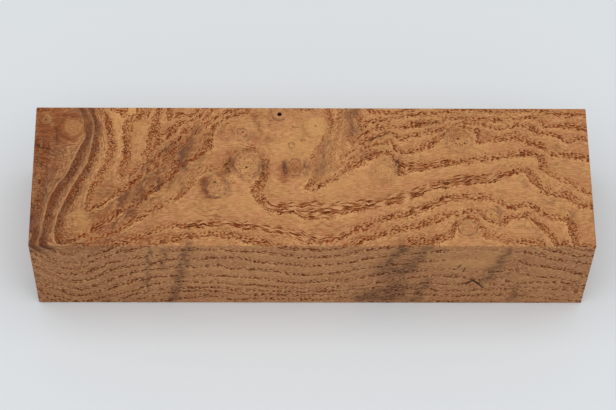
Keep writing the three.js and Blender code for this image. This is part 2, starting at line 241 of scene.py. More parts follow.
# Stains in the wood, as soft strokes on a face: from, to, width and strength
TINTS = {
    "smoke": {
        "top": [
            (-64, 8, -66, -6, 2.6, 0.4), (-55.6, 20, -54.4, 13.5, 1.3, 0.5),
            (-56.6, 12, -58.8, 3, 1.5, 0.3), (-58.8, 3, -63.4, -7, 1.6, 0.3),
            (-63.4, -7, -65.8, -20, 1.4, 0.3), (-53.8, 10, -56.6, 0, 1.3, 0.25),
            (-56.6, 0, -61.4, -12, 1.3, 0.2), (-69, -12, -68.6, -20, 2.0, 0.6),
            (-58.6, 19, -58.4, 17, 1.0, 0.5), (-47.6, -7, -46.4, -5.4, 1.1, 0.55),
            (-42.8, 2, -42.2, 2.8, 0.9, 0.6), (-42.4, -4, -43.2, -7.4, 1.0, 0.6),
            (-37, 7, -36, 8.2, 1.0, 0.9), (-38, -1, -38.2, -4, 0.7, 0.9), (-32.6, 2, -32.4, 8, 1.2, 1.0),
            (-30.8, 8.6, -29, 14, 0.9, 0.7), (-32.5, -1, -32.6, -4, 0.9, 0.7),
            (-21.4, -2, -21, -6, 0.9, 0.5), (-12, 3.4, -12.6, -1.2, 1.3, 0.7),
            (-15.4, 12, -16, 10.2, 0.8, 0.4), (-20.6, 17.8, -20, 17, 1.0, 0.4),
            (-1.6, 0.2, -1, 2.4, 0.8, 0.5), (-1, 2.4, -1.8, 4.6, 0.8, 0.5),
            (2.2, 0.6, 3.6, 9.6, 1.6, 0.55), (1, 1.4, 2.6, 3.4, 1.2, 0.1),
            (10.4, 20, 10.2, 13, 2.0, 0.75), (12.4, 6.2, 17, 6.8, 0.9, 0.65),
            (20.6, 0.8, 22, 5.6, 0.8, 0.65), (28, 16, 32, 15.6, 1.0, 0.6),
            (29, 13.2, 33.4, 13.4, 0.7, 0.5), (46.8, -10, 47.2, -13, 0.9, 0.5),
            (53, -2.6, 53.4, -2.2, 0.9, 0.45), (54, 1.4, 54, 1.8, 0.8, 0.4),
            (58.2, -7, 60, -6.8, 0.8, 0.5), (64.5, -10, 64.6, -13, 0.8, 0.55),
            (55.6, -15.4, 56.6, -18, 1.0, 0.4), (59.6, 2.6, 63.6, 4.6, 1.0, 0.35),
            (61, 8.4, 63, 8.6, 0.8, 0.35),
        ],
        "front": [
            (-30.6, 31, -35.8, 0, 1.3, 0.85), (-40.4, 29, -41.8, 8, 0.6, 0.85),
            (-36.4, 29, -37.8, 19, 0.8, 0.6), (22.5, 30, 17.5, 20, 1.5, 0.6),
            (28.5, 30, 24, 18, 1.4, 0.7), (48.8, 29, 44, 13, 1.3, 0.8), (13, 4, 24, 9, 2.6, 0.8),
            (29.6, 13, 26.8, 2, 1.2, 0.9), (52.4, 8, 51.6, 2, 0.9, 0.7), (16, 16, 24, 18, 2.6, 0.5),
            (13, 2, 24, 3, 1.6, 0.6), (56, 6, 53, 2, 1.0, 0.4), (23, 29, 20, 3, 3.6, 0.4),
        ],
        "back": [
            (-60, 30, -57, 16, 1.8, 0.5), (-40, 9, -36, 15, 1.2, 0.5), (-15, 14, -13, 2, 1.6, 0.4),
            (9, 4, 14, 17, 2.0, 0.4), (26, 14, 30, 22, 1.0, 0.5), (47, 30, 44, 20, 1.4, 0.5),
            (60, 8, 66, 3, 2.2, 0.4),
        ],
        "under": [
            (-64, -18, -58, 16, 1.8, 0.6), (-49, 4, -43, 14, 1.2, 0.6), (-30, 18, -22, -14, 1.6, 0.5),
            (-9, -6, -6, 4, 1.1, 0.6), (13, 4, 18, 16, 1.2, 0.6), (34, -18, 42, -4, 1.5, 0.5),
            (52, 2, 64, 14, 1.4, 0.5),
        ],
        "left": [(-14, 28, -8, 6, 1.4, 0.5), (9, 8, 14, 22, 1.2, 0.5)],
        "right": [(-12, 4, -4, 24, 1.4, 0.5), (10, 14, 16, 28, 1.2, 0.5)],
    },
    "ink": {
        "top": [
            (-64.8, 14, -64, 9.6, 0.5, 0.5), (-6.8, 3.8, -7.1, 2.2, 0.5, 0.5),
            (-7.1, 2.2, -6.7, 0.6, 0.5, 0.4), (36, -1.4, 40, -0.2, 0.4, 0.3),
            (40, -1.6, 48, 0.2, 0.4, 0.25), (-27, -2.4, -26, -5.6, 0.6, 0.45),
            (-21.4, 1, -20.2, 4.6, 0.7, 0.45), (-14, 17.6, -13.4, 13.4, 0.5, 0.3),
        ],
    },
    "brown": {
        "top": [
            (-69, 20, -69, -20, 9.0, 0.42), (-52, -14, -32, 6, 6.0, 0.8), (-66, 12, -62, 14, 5.0, 0.5),
            (-44, -17, -20, -17, 2.4, 0.2),
        ],
        "front": [
            (-66, 4, -56, 28, 14.0, 0.4), (-50, 2, -36, 2, 8.0, 0.35), (22, 14, 68, 14, 16.0, 0.25),
        ],
        "back": [(-66, 20, -40, 6, 9.0, 0.4), (6, 4, 40, 26, 8.0, 0.35)],
        "under": [(-66, -10, -40, 12, 9.0, 0.4), (4, 16, 40, -10, 8.0, 0.4)],
        "left": [(-16, 6, 12, 26, 8.0, 0.4)],
        "right": [(-16, 24, 14, 6, 8.0, 0.35)],
    },
    "deep": {
        "top": [
            (-68, 8, -69, -24, 7.0, 1.0), (-57.5, 20, -56.5, 10, 3.4, 0.9),
            (-56.5, 10, -61.5, -6, 4.0, 0.9), (-61.5, -6, -65, -20, 4.0, 0.9),
            (-66, 18, -66, 10, 4.0, 0.3),
        ],
    },
    "sparse": {
        "top": [
            (4.8, 2, 9.4, 17, 3.0, 0.7), (-20.4, 5.4, -13, 6.4, 1.8, 1.0), (3.4, 12, -0.4, 0, 1.4, 0.7),
            (-57, 20, -56, 10, 3.0, 0.2), (-29, 1, -21, 1, 1.6, 0.6),
        ],
        "front": [
            (37, 22, 45, 25, 4.6, 1.0), (36, 28, 46, 29, 3.0, 0.8), (46, 14, 49, 29, 1.6, 0.5),
            (10, 4, 16, 6, 3.0, 0.5), (50, 6, 68, 4, 4.0, 0.4), (-70, 10, -62, 24, 5.0, 0.3),
        ],
    },
    "long": {
        "top": [
            (-13.6, -7.4, -11.4, -9, 1.4, 0.9), (-11.4, -9, -4, -9.8, 2.2, 1.0),
            (-4, -9.8, 6, -10, 2.4, 1.0), (6, -10, 14, -8, 2.4, 1.0), (14, -8, 24, -5.6, 2.4, 1.0),
            (-30, -13.8, -16, -14, 1.6, 0.8), (-16, -14.4, 0, -17, 1.8, 0.9),
            (0, -17.2, 8, -16.4, 1.6, 0.8), (-28, -12, -22, -12, 0.6, 0.7),
            (-40.4, 10.6, -36.2, 13, 1.3, 0.8), (36, -0.6, 48, -0.4, 1.6, 0.8),
            (-42, 17, -31, 18.6, 1.3, 0.6), (24, -5.6, 36, -1.6, 1.8, 0.8),
            (24, -9.8, 40, -5.6, 1.4, 0.6), (22, 3, 34, 4.4, 1.2, 0.6),
        ],
    },
    "rust": {
        "top": [
            (-69, 15, -61, 15, 5.0, 0.3), (-65.4, 13.6, -63.8, 9.4, 1.2, 0.8),
            (-61, 16.4, -60, 12, 2.0, 0.5), (-70, 12.6, -63, 13, 1.4, 0.6),
            (-70, 18.6, -62, 18.4, 1.2, 0.5), (-64.6, 19, -63.6, 15, 0.8, 0.5),
            (-69.6, 15, -68.8, 17.6, 0.6, 0.6), (-58, 12.6, -57.4, 15.6, 0.6, 0.7),
            (-70, 14.4, -64.6, 14, 0.35, 0.8), (-70, 11.6, -66, 11.2, 0.35, 0.8),
            (-63, 16.6, -58.6, 17, 0.3, 0.7), (-69.4, 19.2, -65, 18.8, 0.4, 0.7),
            (-63, 11, -59.4, 10.4, 0.4, 0.8), (-69, 5, -65, 4, 0.4, 0.6),
            (-68.6, 3, -65.4, 1.4, 0.4, 0.6), (-62.6, 15, -62, 12, 0.5, 0.7),
            (-68, 6.6, -64.4, 3, 2.0, 0.5), (-40.4, 10.6, -36.2, 13, 1.6, 0.5),
            (-38, 4, -28, 12, 1.4, 0.3), (-22.2, 0.4, -20.4, 5, 1.4, 0.9),
            (-27.4, -1.6, -26.4, -5.6, 1.2, 0.9), (-14, 11, -10.6, 10, 1.4, 0.5),
            (-14.6, 18.6, -13.4, 13, 0.6, 0.6), (3.4, 18.6, 4.4, 15.4, 0.9, 0.6),
            (-8, 2.6, -7, -1, 1.2, 0.8), (-4.8, 2.3, -3.8, 2.3, 1.6, 0.4),
            (-52.6, -13, -50, -11.4, 1.4, 0.8), (-54.4, -15.4, -53.6, -14.6, 1.2, 0.8),
            (-47.4, -4, -45, -3, 1.2, 0.8), (-44, -18.6, -30, -17, 1.0, 0.4),
            (-24, -16, -8, -17.6, 1.2, 0.4), (0, -15, 20, -15, 2.0, 0.25), (14, 10.4, 20, 12.8, 0.5, 0.6),
            (66, 16, 70, 14, 1.6, 0.3), (-21.6, -14, -21.3, -14.2, 0.5, 0.9),
            (-13.9, -15.4, -13.6, -15.8, 0.6, 0.9), (-2, -12.4, 0.4, -12.4, 0.4, 0.8),
            (3.6, -12.4, 4.6, -12.2, 0.4, 0.8), (14.4, -7.4, 14.8, -7.2, 0.5, 0.8),
            (-54, -19, -36, -17.4, 1.4, 0.3),
        ],
        "front": [(-37.6, 26.6, -37.4, 25.4, 0.9, 0.4)],
    },
    "gold": {
        "top": [
            (-58.2, 16.6, -57.6, 12, 0.4, 0.9), (-57.6, 12, -59.8, 9.4, 0.35, 0.9),
            (-66.4, 17.4, -66.2, 15, 0.4, 0.8), (-68, 18, -66.6, 17.8, 0.35, 0.8),
            (-58, -11, -55.4, -17, 1.4, 0.6), (-50, 8, -49.4, 20, 1.1, 0.6),
            (-45, 14, -43.4, 20, 1.4, 0.6), (-36, -6, -26, 4, 1.6, 0.4), (-19, -8, -14, -9, 2.0, 0.35),
            (-6, 9, -1, 8, 3.0, 0.45), (1, 14.5, 2, 13, 2.6, 0.7), (-11.8, 8, -10.6, 5.4, 0.6, 0.5),
            (4, -4, 14, 0, 1.6, 0.4), (-26, -10.8, -24, -10.8, 0.9, 0.5), (38, 8, 38.4, 12, 2.0, 0.4),
            (-34, -18, -22, -16, 0.6, 0.4), (22, 3, 40, 5.4, 0.9, 0.35), (52, 7, 60, 2, 0.9, 0.4),
            (44, 6, 54, 4, 1.2, 0.3),
        ],
        "front": [(37, 22, 45, 24, 3.6, 0.6), (11.2, 7, 11.4, 7, 0.8, 0.6), (-20, 16, 0, 20, 3.0, 0.2)],
    },
}
# Bud hearts on the top: x, y, radius
HEARTS = [
    (-67.4, 16.2, 0.35), (-24.4, -1.9, 0.4), (-16.5, 2.4, 0.4), (-17.5, 12.7, 0.35), (1.0, 14.6, 0.25),
    (37.0, 10.9, 0.4), (38.6, 9.6, 0.35), (44.3, -11.0, 0.3), (63.3, -11.2, 0.3), (48.5, 18.8, 0.3),
]
# Thin rings round the buds on the top: x, y, radius, side where it is strongest in degrees,
# how far it runs round, strength
RINGS = [
    (-16.5, 3.2, 3.5, 90, 0.3, 0.5), (-16.5, 3.2, 3.3, 270, 0.5, 0.75), (-16.5, 3.2, 4.5, 40, 0.3, 0.5),
    (-16.5, 3.2, 4.0, 10, 0.3, 0.45), (-16.5, 3.2, 2.4, 200, 0.6, 0.3), (-4.3, 2.3, 2.4, 280, 0.5, 0.65),
    (-4.3, 2.3, 2.4, 90, 0.3, 0.45), (-4.3, 2.3, 1.5, 60, 1.0, 0.3), (-4.3, 2.3, 0.8, 240, 1.2, 0.3),
    (-24.2, -3.5, 2.3, 200, 0.3, 0.7), (-24.2, -3.5, 2.7, 270, 0.2, 0.8),
    (-24.2, -3.4, 1.2, 90, 1.2, 0.4), (-24.2, -3.2, 3.5, 80, 0.4, 0.4), (-17.6, 12.6, 1.1, 270, 1.2, 0.5),
    (-17.8, 12.1, 2.2, 240, 0.5, 0.4), (-22, 11.6, 1.7, 270, 0.8, 0.3), (-8.2, 18.1, 1.8, 270, 1.2, 0.5),
    (-8.2, 18.1, 2.8, 200, 0.5, 0.5), (-5.1, 8.9, 0.65, 270, 1.9, 0.5), (-2.2, 10.3, 0.4, 270, 1.9, 0.5),
    (-4, 9.4, 3.4, 300, 0.3, 0.25), (1, 14.5, 3.3, 190, 0.3, 0.35), (18, 1.5, 2.0, 110, 0.7, 0.35),
    (18, 1.5, 1.2, 250, 0.8, 0.3), (38.4, -15, 2.3, 90, 1.9, 0.45), (38.4, -15, 1.4, 250, 1.2, 0.4),
    (44.3, -11, 1.5, 100, 1.6, 0.45), (44.3, -11, 2.5, 350, 0.3, 0.7), (37.5, 10.5, 1.7, 250, 0.9, 0.4),
    (37.5, 10.5, 2.8, 60, 0.7, 0.4), (37.5, 10.5, 3.7, 200, 0.5, 0.35), (43.5, 12, 1.5, 90, 1.0, 0.4),
    (53.3, -14, 1.2, 120, 1.2, 0.35), (61.5, -8.2, 1.1, 60, 1.2, 0.35), (63.3, -11, 1.2, 350, 1.2, 0.4),
    (-67.5, 16.2, 1.4, 200, 1.2, 0.5), (-60.5, 14, 3.4, 170, 0.4, 0.5), (-12, 15.6, 1.4, 20, 0.6, 0.35),
]
# Thin dark streaks, the first four on the front being painted shade along the mouth of the check: face, from,
# to, half width and strength
STREAKS_AND_CHECK_SHADE = [
    ("front", 38.5, 11.1, 39.7, 11.6, 0.35, 0.8), ("front", 39.7, 11.6, 40.9, 12.8, 0.45, 1.0),
    ("front", 40.9, 12.8, 42.2, 11.2, 0.5, 1.0), ("front", 42.2, 11.2, 43.7, 8.8, 0.45, 0.9),
    ("front", 36.6, 19.6, 37.2, 21, 0.35, 0.8), ("front", 38, 17.4, 38.4, 19.4, 0.35, 0.8),
    ("front", 35.4, 15.7, 36.7, 15.9, 0.35, 0.7), ("front", 40.2, 9.7, 40.6, 9.7, 0.4, 0.7),
    ("front", 48.1, 4.2, 48.6, 4.2, 0.45, 0.8), ("front", 49.3, 16.6, 49.8, 16.6, 0.4, 0.7),
    ("front", -42.9, 13.4, -42.6, 12.2, 0.45, 0.7), ("front", 45.4, 17.3, 48.2, 17.6, 0.4, 0.6),
    ("front", 44.2, 13.4, 46.4, 13.6, 0.4, 0.6), ("front", 47, 22.8, 49, 23.2, 0.4, 0.5),
    ("top", -69.6, 8.6, -67.6, 8.0, 0.3, 0.8), ("top", -67.6, 8.0, -65.4, 6.8, 0.3, 0.8),
    ("top", -69.8, 14.4, -66.6, 14.2, 0.3, 0.4), ("top", -69.8, 12.8, -65.8, 13.0, 0.3, 0.4),
    ("top", -69.8, 11.4, -66.2, 11.0, 0.3, 0.4), ("top", -69.6, 18.9, -65.4, 18.6, 0.3, 0.4),
    ("top", -63.4, 17.4, -59.6, 17.2, 0.3, 0.35), ("top", -63.2, 11.2, -60, 10.4, 0.3, 0.4),
    ("top", -64.9, 13.8, -64.2, 9.6, 0.5, 0.4), ("top", -68.6, 5.2, -65.8, 4.2, 0.35, 0.5),
    ("top", -68.6, 3.2, -65.6, 1.8, 0.3, 0.6), ("top", -67.4, 6.6, -64.6, 5.4, 0.3, 0.5),
    ("top", -57.8, 15.4, -57.2, 12.4, 0.35, 0.6), ("top", -55.4, 19.6, -54.8, 15, 0.45, 0.5),
    ("top", 14.6, 10.3, 17.4, 11.6, 0.3, 0.8), ("top", 17.4, 11.6, 20, 12.8, 0.3, 0.8),
    ("top", -5.7, 13.5, -5, 14.3, 0.25, 0.4), ("top", -5, 14.3, -3, 13.9, 0.25, 0.4),
    ("top", -26, -6.2, -23, -6.4, 0.3, 0.65), ("top", -27, -10.3, -23.4, -9.9, 0.25, 0.5),
    ("top", -27.2, -11.5, -22.6, -11.7, 0.25, 0.5), ("top", 20.4, 5.6, 21.5, 4.2, 0.5, 0.4),
    ("top", 21.5, 4.2, 22, 1.2, 0.5, 0.45), ("top", -7.1, 3.9, -7.3, 1.6, 0.5, 0.55),
    ("top", -7.3, 1.6, -6.7, 0.2, 0.45, 0.45), ("top", -38.1, -0.8, -38.3, -4.2, 0.35, 0.6),
    ("top", -20.6, 5.2, -21.4, 3.2, 0.4, 0.5), ("top", -21.4, 3.2, -20.8, 0.8, 0.4, 0.5),
]

# Year count well below the surface: years in each millimetre, closer together in the oldest wood
EDGE_YEAR = 9.6
YEARS_ACROSS = 0.15
YEARS_DOWN = 1 / 4.4
YEARS_DOWN_OLD = 1 / 2.55
OLD_WOOD_TOP = 11.0
# Growth lines: how far each carries into the wood, how close its points are, how far it gives way to others
REACH = 15.0
LINE_STEP = 1.6
SLACK = 0.002
BATCH = 4000
# Folds deeper in the wood: how many, from how deep, least and most size, least and most lift in years
FOLDS = 40
FOLD_SEED = 7
FOLD_DEPTH = 12.0
FOLD_SIZES = ((6, 5, 5), (15, 9, 9))
FOLD_LIFTS = (0.4, 1.1)
# Buds lift the layers: years under the oldest heart, how fast that falls away, how deep it goes
BUD_AGE = 0.4
BUD_FALL = 2.0
BUD_DEPTH = 12.0
# A bud's look goes no deeper than its face: radii lost with each millimetre below, and a place with no bud
BUD_SKIN = 2.0
NO_BUD = 9.0
# Stains: how deep they go, and the waves that keep their edges from being ruled, each with its reach and
# how fast it swings along and across the face
STROKE_DEPTH = 3.0
WAVES_ALONG = [(0.45, 0.5, 0.9), (0.25, -1.1, 2.3)]
WAVES_ACROSS = [(0.45, 0.8, -0.6), (0.25, 2.1, 1.4)]
# Least steepness of the layers in a face, in years to the millimetre, and a trace so that none is zero
LEAST_STEEP = 0.05
TRACE = 1e-4


def curve_points(points, step):
    """Points about a step apart on a smooth line through the given points."""
    points = [np.array(point, float) for point in points]
    knots = [2 * points[0] - points[1], *points, 2 * points[-1] - points[-2]]
    line = []
    for a, b, c, d in zip(knots, knots[1:], knots[2:], knots[3:]):
        count = max(int(np.linalg.norm(c - b) / step), 1)
        for t in np.arange(count) / count:
            bend = (2 * a - 5 * b + 4 * c - d) * t ** 2 + (3 * b - a - 3 * c + d) * t ** 3
            line.append(0.5 * (2 * b + (c - a) * t + bend))
    line.append(points[-1])
    return np.array(line)


def plain_years(at):
    """Year count that the wood would have with flat layers."""
    z = at[:, 2]
    young = (np.maximum(z, OLD_WOOD_TOP) - HEIGHT) * YEARS_DOWN
    old = (np.minimum(z, OLD_WOOD_TOP) - OLD_WOOD_TOP) * YEARS_DOWN_OLD
    return EDGE_YEAR + YEARS_ACROSS * at[:, 1] + young + old


def distances(a, b):
    square = (a ** 2).sum(1)[:, None] + (b ** 2).sum(1)[None, :] - 2 * a @ b.T
    return np.sqrt(np.maximum(square, 0))


def pull(gap):
    """How far a known point carries to its surroundings: one at the point, nothing past the reach."""
    near = np.maximum(1 - gap / REACH, 0)
    return near ** 4 * (4 * gap / REACH + 1)


def pull_slope(gap):
    """Change of the pull along a step away from the known point, for each millimetre already away."""
    near = np.maximum(1 - gap / REACH, 0)
    return near ** 3 * -20 / REACH ** 2


def growth_lines():
    """Every known place in the wood, with its year count."""
    known = []
    years = []
    for year, points in TOP_LINES:
        line = curve_points(points, LINE_STEP)
        known.append(np.column_stack([line, np.full(len(line), HEIGHT)]))
        years.append(np.full(len(line), float(year)))
    for x, y, year in TOP_SPOTS:
        known.append(np.array([(x, y, HEIGHT)]))
        years.append(np.array([float(year)]))
    for year, points in FRONT_LINES:
        line = curve_points(points, LINE_STEP)
        known.append(np.column_stack([line[:, 0], np.full(len(line), -WIDTH / 2), line[:, 1]]))
        years.append(np.full(len(line), float(year)))
    return np.concatenate(known), np.concatenate(years)


def solve_growth():
    """The known places, and the weight of each in the year count around it."""
    known, years = growth_lines()
    ties = pull(distances(known, known)) + SLACK * np.eye(len(known))
    return known, np.linalg.solve(ties, years - plain_years(known))


def on_face(at, face):
    """Place along and across a face, and depth below it."""
    x, y, z = at.T
    return {
        "top": (x, y, HEIGHT - z),
        "under": (x, y, z),
        "front": (x, z, y + WIDTH / 2),
        "back": (x, z, WIDTH / 2 - y),
        "left": (y, z, x + LENGTH / 2),
        "right": (y, z, LENGTH / 2 - x),
    }[face]


def growth_at(at, known, weights):
    """Year count at each place, with every fold of the layers, and its slope in years to the millimetre."""
    found = plain_years(at)
    slope = np.zeros_like(at)
    slope[:, 1] = YEARS_ACROSS
    slope[:, 2] = np.where(at[:, 2] > OLD_WOOD_TOP, YEARS_DOWN, YEARS_DOWN_OLD)
    for start in range(0, len(at), BATCH):
        part = slice(start, start + BATCH)
        gap = distances(at[part], known)
        found[part] += pull(gap) @ weights
        lean = pull_slope(gap) * weights
        slope[part] += at[part] * lean.sum(1)[:, None] - lean @ known
    for face, u, v, radius, older, *_ in BUDS:
        along, across, depth = on_face(at, face)
        gap = np.hypot(along - u, across - v) / radius
        bulge = BUD_AGE * older * np.exp(-BUD_FALL * gap ** 2 - (depth / BUD_DEPTH) ** 2)
        found -= bulge
        for axis, offset in zip(FACE_AXES[face], (along - u, across - v)):
            slope[:, axis] += bulge * 2 * BUD_FALL * offset / radius ** 2
    folded, fold_slope = hidden_folds(at)
    return found + folded, slope + fold_slope


def deep_share(depth):
    """Nothing at a face, one at the fold depth and below, with its slope."""
    share = np.clip(depth / FOLD_DEPTH, 0, 1)
    return share ** 2 * (3 - 2 * share), 6 * share * (1 - share) / FOLD_DEPTH


def hidden_folds(at):
    """Years and slope that the folds deeper in the wood add, none of them at the top or the front."""
    chance = np.random.default_rng(FOLD_SEED)
    centres = chance.uniform((-LENGTH / 2, -WIDTH / 4, 0), (LENGTH / 2, WIDTH / 2, HEIGHT), (FOLDS, 3))
    sizes = chance.uniform(*FOLD_SIZES, (FOLDS, 3))
    lifts = chance.uniform(*FOLD_LIFTS, FOLDS) * chance.choice((-1, 1), FOLDS)
    years = np.zeros(len(at))
    slope = np.zeros_like(at)
    for centre, size, lift in zip(centres, sizes, lifts):
        offset = (at - centre) / size
        swell = lift * np.exp(-(offset ** 2).sum(1))
        years += swell
        slope -= 2 * swell[:, None] * offset / size
    below, below_slope = deep_share(HEIGHT - at[:, 2])
    behind, behind_slope = deep_share(at[:, 1] + WIDTH / 2)
    slope *= (below * behind)[:, None]
    slope[:, 1] += years * below * behind_slope
    slope[:, 2] -= years * behind * below_slope
    return years * below * behind, slope


def finished_mesh(bm, name):
    mesh = bpy.data.meshes.new(name)
    bm.to_mesh(mesh)
    bm.free()
    return mesh


def sawn_block():
    """The block with eased arrises, its faces cut into small cells that carry the growth of the wood."""
    bm = bmesh.new()
    bmesh.ops.create_cube(bm, size=1.0)
    bmesh.ops.scale(bm, vec=Vector((LENGTH, WIDTH, HEIGHT)) * MM, verts=bm.verts)
    bmesh.ops.translate(bm, vec=(0, 0, HEIGHT * MM / 2), verts=bm.verts)
    bmesh.ops.bevel(bm, geom=bm.edges[:], offset=ARRIS * MM, offset_type="OFFSET", segments=2, profile=0.5,
                    affect="EDGES", material=-1)
    for axis, size in enumerate((LENGTH, WIDTH, HEIGHT)):
        whole = (size - 3 * ARRIS) * MM
        along = [e for e in bm.edges if abs(e.verts[1].co[axis] - e.verts[0].co[axis]) > whole]
        cuts = int(size * CELLS_PER_MM) - 1
        bmesh.ops.subdivide_edges(bm, edges=along, cuts=cuts, use_grid_fill=True)
    bmesh.ops.recalc_face_normals(bm, faces=bm.faces)
    return finished_mesh(bm, "burl_block")


def pin_hole():
    """The plug of air that the pin knot left: a funnel to the waist, then a long point."""
    profile = [
        (0.0, -HOLE_DEPTH), (HOLE_WAIST, -HOLE_WAIST_DEPTH), (HOLE_MOUTH, 0.0), (HOLE_MOUTH, OVERCUT),
        (0.0, OVERCUT),
    ]
    bm = bmesh.new()
    verts = [bm.verts.new(Vector((radius, 0, height)) * MM) for radius, height in profile]
    edges = [bm.edges.new(pair) for pair in zip(verts, verts[1:])]
    bmesh.ops.spin(bm, geom=verts + edges, cent=(0, 0, 0), axis=(0, 0, 1), angle=2 * math.pi,
                   steps=HOLE_SIDES, use_merge=True)
    bmesh.ops.remove_doubles(bm, verts=bm.verts, dist=WELD * MM)
    bmesh.ops.translate(bm, vec=Vector((*HOLE_AT, HEIGHT)) * MM, verts=bm.verts)
    bmesh.ops.recalc_face_normals(bm, faces=bm.faces)
    return finished_mesh(bm, "pin_hole")


def check_section(index):
    """Upper lip, lower lip and root of the drying check at one station."""
    x, z, width = CHECK_STATIONS[index]
    before = CHECK_STATIONS[max(index - 1, 0)]
    after = CHECK_STATIONS[min(index + 1, len(CHECK_STATIONS) - 1)]
    run = Vector((after[0] - before[0], after[1] - before[1])).normalized()
    half = width / 2 * (CHECK_DEPTH + OVERCUT) / CHECK_DEPTH
    front = -WIDTH / 2
    upper = Vector((x - run.y * half, front - OVERCUT, z + run.x * half))
    lower = Vector((x + run.y * half, front - OVERCUT, z - run.x * half))
    return [upper * MM, lower * MM, Vector((x, front + CHECK_DEPTH, z)) * MM]


def drying_check():
    """The open check in the front, a thin wedge carried from station to station."""
    bm = bmesh.new()
    corners = bmesh.ops.create_circle(bm, cap_ends=True, segments=3, radius=MM)["verts"]
    section = check_section(0)
    for vert, place in zip(corners, section):
        vert.co = place
    face = bm.faces[:]
    for index in range(1, len(CHECK_STATIONS)):
        grown = bmesh.ops.extrude_face_region(bm, geom=face)
        moved = [v for v in grown["geom"] if isinstance(v, bmesh.types.BMVert)]
        bmesh.ops.delete(bm, geom=face, context="FACES_ONLY")
        face = [f for f in grown["geom"] if isinstance(f, bmesh.types.BMFace)]
        ordered = [min(moved, key=lambda v: (v.co - place).length) for place in section]
        section = check_section(index)
        for vert, place in zip(ordered, section):
            vert.co = place
    bmesh.ops.holes_fill(bm, edges=[e for e in bm.edges if e.is_boundary], sides=0)
    bmesh.ops.recalc_face_normals(bm, faces=bm.faces)
    return finished_mesh(bm, "drying_check")


def cut_block():
    """The block with its hole and its check cut, as one closed mesh."""
    scene = bpy.context.scene
    block = bpy.data.objects.new("burl_wood", sawn_block())
    scene.collection.objects.link(block)
    cutters = []
    for mesh in (pin_hole(), drying_check()):
        cutter = bpy.data.objects.new(mesh.name, mesh)
        scene.collection.objects.link(cutter)
        cutters.append(cutter)
        cut = block.modifiers.new(mesh.name, "BOOLEAN")
        cut.operation = "DIFFERENCE"
        cut.solver = "EXACT"
        cut.object = cutter
    bpy.context.view_layer.update()
    ready = block.evaluated_get(bpy.context.evaluated_depsgraph_get())
    whole = bpy.data.meshes.new_from_object(ready)
    rough = block.data
    block.modifiers.clear()
    block.data = whole
    bpy.data.meshes.remove(rough)
    for cutter in cutters:
        mesh = cutter.data
        bpy.data.objects.remove(cutter)
        bpy.data.meshes.remove(mesh)
    whole.name = "burl_wood"
    return block


def places(mesh):
    """Every point of the mesh, in millimetres."""
    flat = np.empty(len(mesh.vertices) * 3)
    mesh.vertices.foreach_get("co", flat)
    return flat.reshape(-1, 3) / MM


def facing(mesh):
    """Outward direction at every point of the mesh."""
    flat = np.empty(len(mesh.vertices) * 3, np.float32)
    mesh.vertex_normals.foreach_get("vector", flat)
    return flat.reshape(-1, 3).astype(float)


def write_value(mesh, name, values):
    stored = mesh.attributes.new(name, "FLOAT", "POINT")
    stored.data.foreach_set("value", np.ascontiguousarray(values, np.float32))


def write_vector(mesh, name, values):
    stored = mesh.attributes.new(name, "FLOAT_VECTOR", "POINT")
    stored.data.foreach_set("vector", np.ascontiguousarray(values, np.float32).ravel())


def nearest_bud(at):
    """Distance to the nearest bud in its own radii, with its disc, radius, rim and specks."""
    best = np.full(len(at), NO_BUD)
    look = np.zeros((len(at), 4))
    for face, u, v, radius, _, disc, rim, specks in BUDS:
        along, across, depth = on_face(at, face)
        gap = np.hypot(along - u, across - v) / radius + depth * BUD_SKIN
        closer = gap < best
        best[closer] = gap[closer]
        look[closer] = (disc, radius, rim, specks)
    return best, look


def waved(along, across, waves):
    return sum(reach * np.sin(u * along + v * across) for reach, u, v in waves)


def stroke_weight(at, strokes):
    """How strongly soft strokes, each from one place on a face to another, colour every point."""
    total = np.zeros(len(at))
    for face, rows in strokes.items():
        along, across, depth = on_face(at, face)
        u = along + waved(along, across, WAVES_ALONG)
        v = across + waved(along, across, WAVES_ACROSS)
        for u0, v0, u1, v1, width, strength in rows:
            run = np.array([u1 - u0, v1 - v0])
            share = np.clip(((u - u0) * run[0] + (v - v0) * run[1]) / (run @ run), 0, 1)
            gap = np.hypot(u - u0 - share * run[0], v - v0 - share * run[1])
            total += strength * np.exp(-(gap / width) ** 2 - (depth / STROKE_DEPTH) ** 2)
    return np.minimum(total, 1)


def write_growth(mesh):
    """Stores the growth, the buds, the stains and where painted shade goes in the hole and the check at every
    point, for the material to read.
    """
    at = places(mesh)
    years, slope = growth_at(at, *solve_growth())
    out = facing(mesh)
    slope -= out * (slope * out).sum(1)[:, None]
    steep = np.linalg.norm(slope, axis=1) + TRACE
    write_value(mesh, "years", years)
    write_value(mesh, "steep", np.maximum(steep, LEAST_STEEP))
    write_value(mesh, "end_on", np.maximum(np.abs(slope[:, 0]) / steep, np.abs(out[:, 0])))
    gap, look = nearest_bud(at)
    write_value(mesh, "bud_gap", gap)
    write_vector(mesh, "bud_look", look[:, :3])
    write_value(mesh, "bud_specks", look[:, 3])
    for name, strokes in TINTS.items():
        write_value(mesh, name, stroke_weight(at, strokes))
    x, y, z = at.T
    # Depth below the block's outer faces, past the arris only on the sides of the hole and the check: the
    # material paints shade there
    inside = np.minimum.reduce([HEIGHT - z, z, WIDTH / 2 - np.abs(y), LENGTH / 2 - np.abs(x)])
    write_value(mesh, "inside", np.clip(inside / ARRIS - 1, 0, 1))


